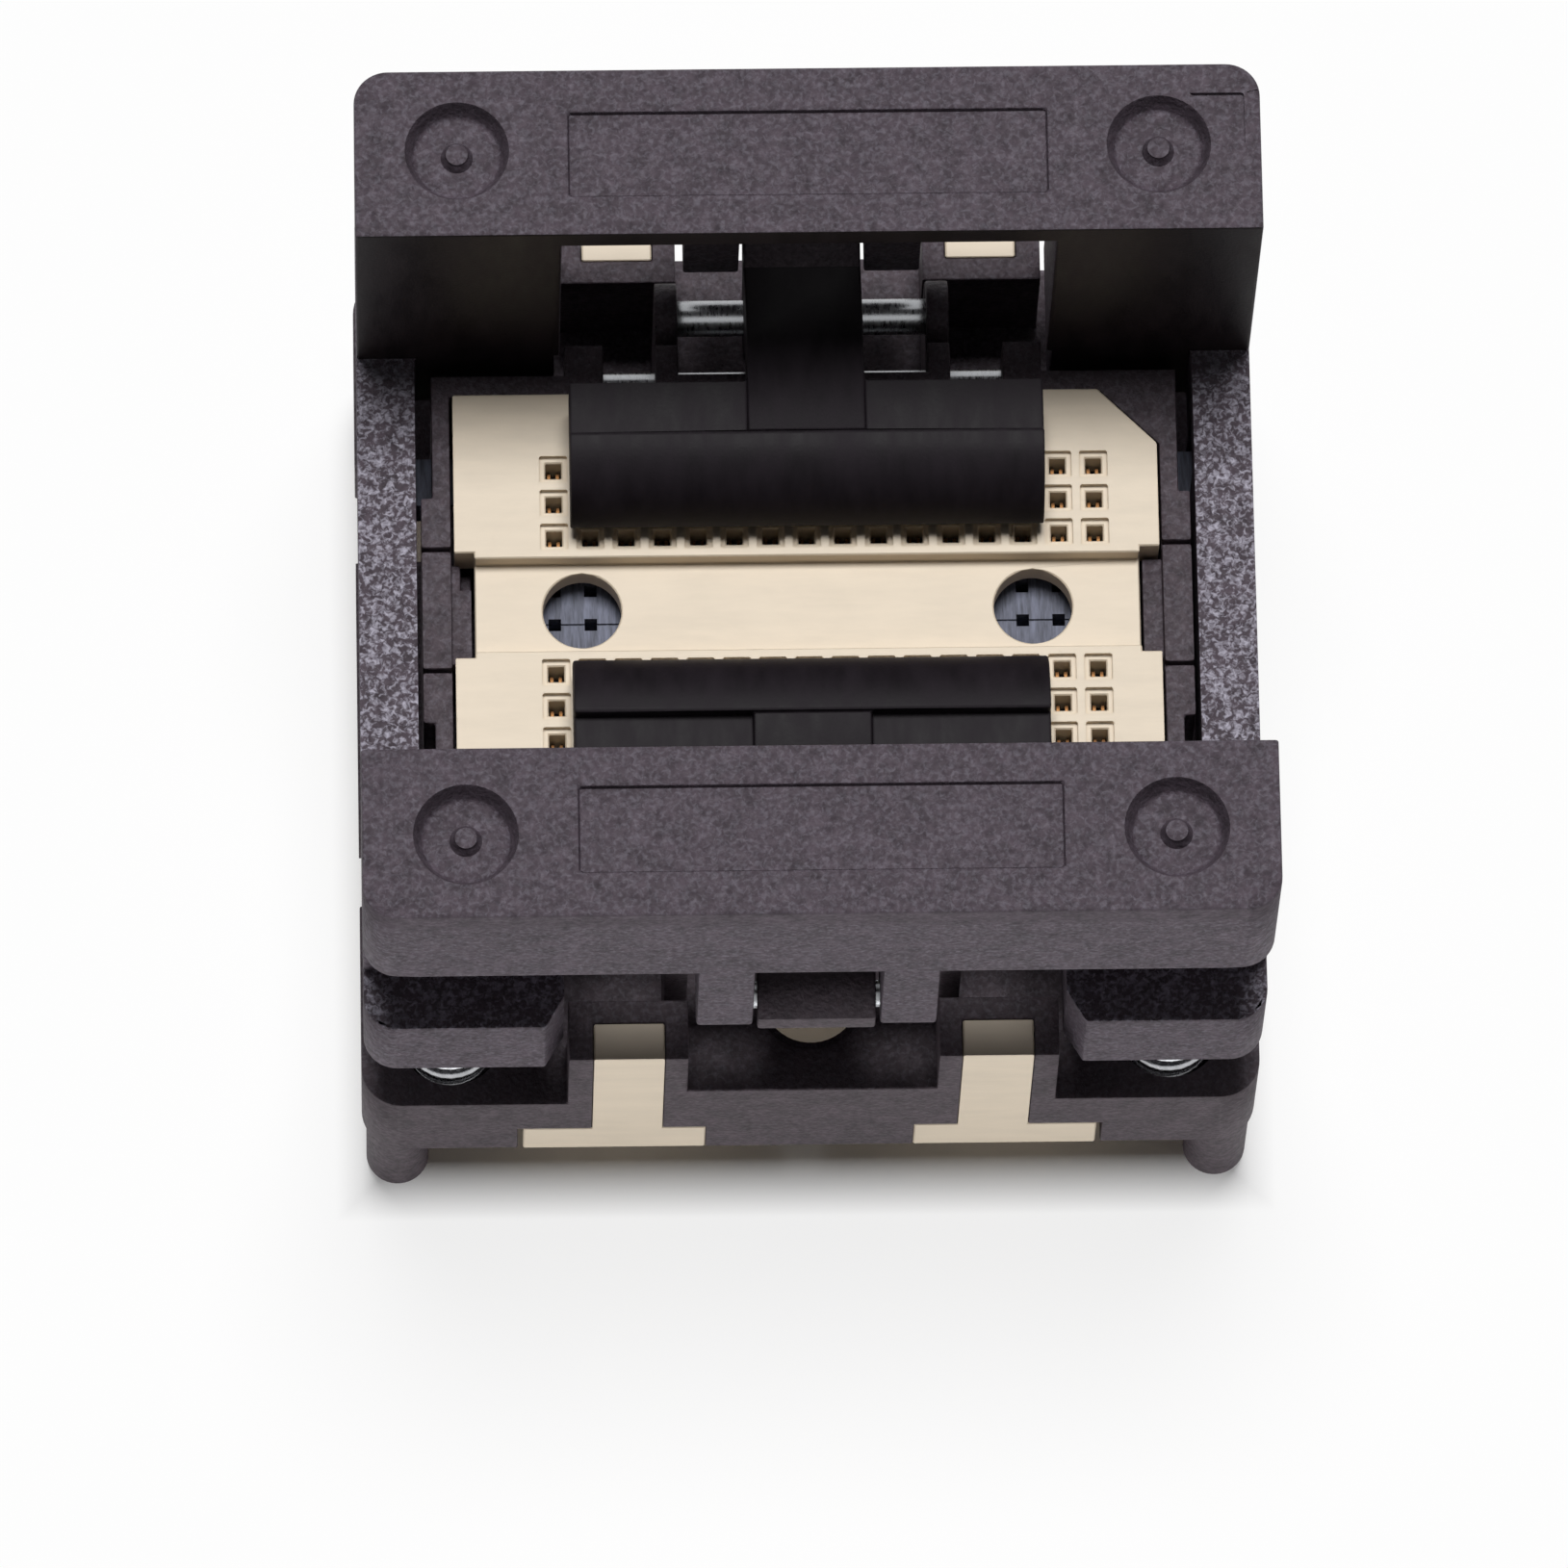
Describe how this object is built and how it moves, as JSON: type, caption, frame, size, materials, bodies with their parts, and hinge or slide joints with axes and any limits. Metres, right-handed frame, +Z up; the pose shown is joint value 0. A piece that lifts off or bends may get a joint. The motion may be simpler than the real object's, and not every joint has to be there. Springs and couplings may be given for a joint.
{
  "type": "ic socket",
  "caption": "Open-top test socket for a ball-grid chip package: pressing the sprung cover swings two latches open and shifts the slider that spreads the contacts.",
  "frame": {"origin": "middle of the underside of the base, the face that sits on the circuit board", "axes": "+Z up, away from the board; +X to the right and +Y to the rear as seen from the front, with the thick locating pin at the rear left"},
  "size_m": [0.02, 0.0198, 0.0184],
  "materials": {
    "base_black": "moulded, fine grain",
    "cover_black": "moulded, speckled grain",
    "latch_black": "moulded, smooth",
    "cream_plastic": "moulded, smooth",
    "spring_steel": "drawn wire",
    "contact_gold": "plated"
  },
  "bodies": {
    "base": {"base_housing": "base_black", "contact_plate": "cream_plastic", "contact_row_1": "contact_gold", "contact_row_2": "contact_gold", "contact_row_3": "contact_gold", "contact_row_4": "contact_gold", "contact_row_5": "contact_gold", "contact_row_6": "contact_gold", "latch_shaft_front": "spring_steel", "latch_shaft_rear": "spring_steel", "retainer_pin_front": "spring_steel", "retainer_pin_rear": "spring_steel", "spring_fl": "spring_steel", "spring_fr": "spring_steel", "spring_rl": "spring_steel", "spring_rr": "spring_steel", "seat_spring_fl": "spring_steel", "seat_spring_fr": "spring_steel", "seat_spring_rl": "spring_steel", "seat_spring_rr": "spring_steel"},
    "cover": {"cover": "cover_black", "cover_pin_front": "spring_steel", "cover_pin_rear": "spring_steel"},
    "latch_front": {"latch_front": "latch_black"},
    "latch_rear": {"latch_rear": "latch_black"},
    "slider": {"slider": "base_black"},
    "seat": {"seat_plate": "cream_plastic"}
  },
  "joints": [
    {"name": "cover_press", "type": "slide", "parent": "base", "child": "cover", "axis": [0, 0, 1], "range_m": [-0.0018, 0], "stiffness_N_per_m": 3000, "springref_m": 0.001, "deforming": ["spring_fl", "spring_fr", "spring_rl", "spring_rr"]},
    {"name": "latch_rear_turn", "type": "hinge", "parent": "base", "child": "latch_rear", "pos_m": [0, 0.0072, 0.0071], "axis": [-1, 0, 0], "range_deg": [0, 47.7]},
    {"name": "latch_front_turn", "type": "hinge", "parent": "base", "child": "latch_front", "pos_m": [0, -0.0072, 0.0071], "axis": [1, 0, 0], "range_deg": [0, 47.7]},
    {"name": "slider_shift", "type": "slide", "parent": "base", "child": "slider", "axis": [1, 0, 0], "range_m": [-0.0003, 0]},
    {"name": "seat_float", "type": "slide", "parent": "base", "child": "seat", "axis": [0, 0, 1], "range_m": [-0.00025, 0], "stiffness_N_per_m": 800, "springref_m": 0.0005, "deforming": ["seat_spring_fl", "seat_spring_fr", "seat_spring_rl", "seat_spring_rr"]}
  ],
  "couplings": [
    {"joint": "latch_rear_turn", "follows": "cover_press", "rad_per_m": -462.1},
    {"joint": "latch_front_turn", "follows": "cover_press", "rad_per_m": -462.1},
    {"joint": "slider_shift", "follows": "cover_press", "ratio": 0.1666}
  ]
}
